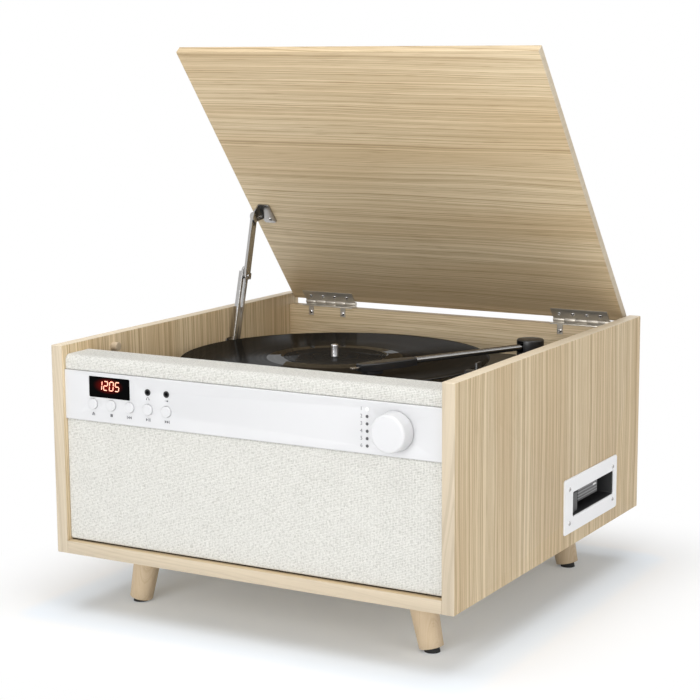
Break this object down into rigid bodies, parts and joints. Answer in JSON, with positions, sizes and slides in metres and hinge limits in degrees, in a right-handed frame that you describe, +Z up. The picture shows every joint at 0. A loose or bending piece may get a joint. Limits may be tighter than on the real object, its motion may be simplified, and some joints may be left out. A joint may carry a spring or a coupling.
{
  "type": "cabinet record player",
  "caption": "Wooden cabinet record player on splayed legs with a lift-up lid, cloth front, control strip with buttons and knob, tape slot and disc tray.",
  "frame": {"origin": "on the floor, under the middle of the object's box with the lid open", "axes": "+Z up, +X to the right seen from the front, -Y towards the front with the knob"},
  "size_m": [0.4208, 0.4314, 0.523],
  "materials": {
    "veneer": "satin veneer",
    "leg_wood": "satin lacquer",
    "rail_wood": "plain board",
    "cloth": "heathered weave",
    "white_plastic": "satin",
    "dark_lens": "polished",
    "lamp_lens": "clear",
    "black_plastic": "satin",
    "grey_plastic": "fine grain",
    "vinyl": "grooved",
    "felt": "felt",
    "rubber": "matt",
    "bright_steel": "polished",
    "steel": "brushed",
    "cast_alloy": "turned",
    "board": "coated",
    "cone_paper": "pressed paper"
  },
  "bodies": {
    "cabinet": {"left_side_panel": "veneer", "right_side_panel": "veneer", "bottom_panel": "veneer", "back_panel": "veneer", "legs": "leg_wood", "leg_feet": "rubber", "lower_grille_cloth": "cloth", "speaker_baffle": "rail_wood", "upper_grille_cloth": "cloth", "front_rail": "rail_wood", "lid_bumpers": "rubber", "speaker_frames": "steel", "speaker_cones": "cone_paper", "control_strip": "white_plastic", "display_window": "dark_lens", "front_jacks": "black_plastic", "indicator_lamps": "lamp_lens", "deck_plate": "black_plastic", "platter_bearing": "steel", "motor": "steel", "drive_belt": "rubber", "tonearm_base": "black_plastic", "arm_rest": "black_plastic", "tape_bezel": "white_plastic", "tape_well": "black_plastic", "disc_bezel": "white_plastic", "disc_drive": "steel", "hinge_back_leaves": "bright_steel", "cabinet_screws": "bright_steel", "stay_wall_plate": "bright_steel", "back_sockets": "black_plastic", "circuit_boards": "board"},
    "lid": {"lid_panel": "veneer", "hinge_lid_leaves": "bright_steel", "lid_screws": "bright_steel", "stay_bracket": "bright_steel"},
    "stay_upper": {"stay_upper_arm": "bright_steel"},
    "stay_lower": {"stay_lower_arm": "bright_steel"},
    "platter": {"platter": "cast_alloy", "slip_mat": "felt", "record": "vinyl"},
    "pulley": {"motor_pulley": "cast_alloy"},
    "gimbal": {"tonearm_gimbal": "black_plastic"},
    "tonearm": {"tonearm_tube": "steel", "headshell": "black_plastic", "cartridge": "black_plastic", "finger_lift": "bright_steel"},
    "knob": {"selector_knob": "white_plastic"},
    "speed": {"speed_lever": "black_plastic"},
    "flap": {"tape_flap": "grey_plastic"},
    "outer_reel": {"outer_reel_hub": "black_plastic"},
    "inner_reel": {"inner_reel_hub": "black_plastic"},
    "eject_key": {"eject_button": "grey_plastic"},
    "tray": {"disc_tray": "white_plastic"},
    "chuck": {"disc_chuck": "black_plastic"},
    "tray_key": {"tray_button": "white_plastic"},
    "stop_key": {"stop_button": "white_plastic"},
    "back_key": {"back_button": "white_plastic"},
    "play_key": {"play_button": "white_plastic"},
    "skip_key": {"skip_button": "white_plastic"}
  },
  "joints": [
    {"name": "lid_hinge", "type": "hinge", "parent": "cabinet", "child": "lid", "pos_m": [0, 0.20675, 0.2447], "axis": [-1, 0, 0], "range_deg": [-51, 0]},
    {"name": "stay_lower_swing", "type": "hinge", "parent": "cabinet", "child": "stay_lower", "pos_m": [-0.19, 0.0759, 0.2126], "axis": [-1, 0, 0], "range_deg": [0, 67]},
    {"name": "stay_upper_swing", "type": "hinge", "parent": "lid", "child": "stay_upper", "pos_m": [-0.1877, 0.11177, 0.34626], "axis": [-1, 0, 0], "range_deg": [-41, 0]},
    {"name": "platter_spin", "type": "hinge", "parent": "cabinet", "child": "platter", "pos_m": [-0.026, 0.00375, 0.2203], "axis": [0, 0, 1], "continuous": true},
    {"name": "pulley_spin", "type": "hinge", "parent": "cabinet", "child": "pulley", "pos_m": [-0.084, 0.06175, 0.2095], "axis": [0, 0, 1], "continuous": true},
    {"name": "tonearm_swing", "type": "hinge", "parent": "cabinet", "child": "gimbal", "pos_m": [0.144, 0.08775, 0.228], "axis": [0, 0, 1], "range_deg": [-17, 27]},
    {"name": "tonearm_lift", "type": "hinge", "parent": "gimbal", "child": "tonearm", "pos_m": [0.144, 0.08775, 0.236], "axis": [-0.891, 0.454, 0], "range_deg": [0, 10]},
    {"name": "knob_turn", "type": "hinge", "parent": "cabinet", "child": "knob", "pos_m": [0.151, -0.20065, 0.207], "axis": [0, -1, 0], "continuous": true},
    {"name": "speed_select", "type": "hinge", "parent": "cabinet", "child": "speed", "pos_m": [0.175, 0.00575, 0.206], "axis": [0, 0, 1], "range_deg": [-20, 20]},
    {"name": "flap_swing", "type": "hinge", "parent": "cabinet", "child": "flap", "pos_m": [0.203, 0.09455, 0.1064], "axis": [0, 1, 0], "range_deg": [0, 75], "stiffness_Nm_per_rad": 0.004},
    {"name": "outer_reel_spin", "type": "hinge", "parent": "cabinet", "child": "outer_reel", "pos_m": [0.168, 0.10725, 0.0844], "axis": [0, 0, 1], "continuous": true},
    {"name": "inner_reel_spin", "type": "hinge", "parent": "cabinet", "child": "inner_reel", "pos_m": [0.1255, 0.10725, 0.0844], "axis": [0, 0, 1], "continuous": true},
    {"name": "tray_slide", "type": "slide", "parent": "cabinet", "child": "tray", "axis": [-1, 0, 0], "range_m": [0, 0.125]},
    {"name": "chuck_spin", "type": "hinge", "parent": "cabinet", "child": "chuck", "pos_m": [-0.136, 0.08875, 0.0882], "axis": [0, 0, 1], "continuous": true},
    {"name": "eject_press", "type": "slide", "parent": "cabinet", "child": "eject_key", "axis": [-1, 0, 0], "range_m": [0, 0.003], "stiffness_N_per_m": 600},
    {"name": "tray_press", "type": "slide", "parent": "cabinet", "child": "tray_key", "axis": [0, 1, 0], "range_m": [0, 0.0012], "stiffness_N_per_m": 1200},
    {"name": "stop_press", "type": "slide", "parent": "cabinet", "child": "stop_key", "axis": [0, 1, 0], "range_m": [0, 0.0012], "stiffness_N_per_m": 1200},
    {"name": "back_press", "type": "slide", "parent": "cabinet", "child": "back_key", "axis": [0, 1, 0], "range_m": [0, 0.0012], "stiffness_N_per_m": 1200},
    {"name": "play_press", "type": "slide", "parent": "cabinet", "child": "play_key", "axis": [0, 1, 0], "range_m": [0, 0.0012], "stiffness_N_per_m": 1200},
    {"name": "skip_press", "type": "slide", "parent": "cabinet", "child": "skip_key", "axis": [0, 1, 0], "range_m": [0, 0.0012], "stiffness_N_per_m": 1200}
  ],
  "couplings": [
    {"joint": "stay_lower_swing", "follows": "lid_hinge", "ratio": -1.3015},
    {"joint": "stay_upper_swing", "follows": "lid_hinge", "ratio": 0.7902},
    {"joint": "pulley_spin", "follows": "platter_spin", "ratio": 12}
  ]
}
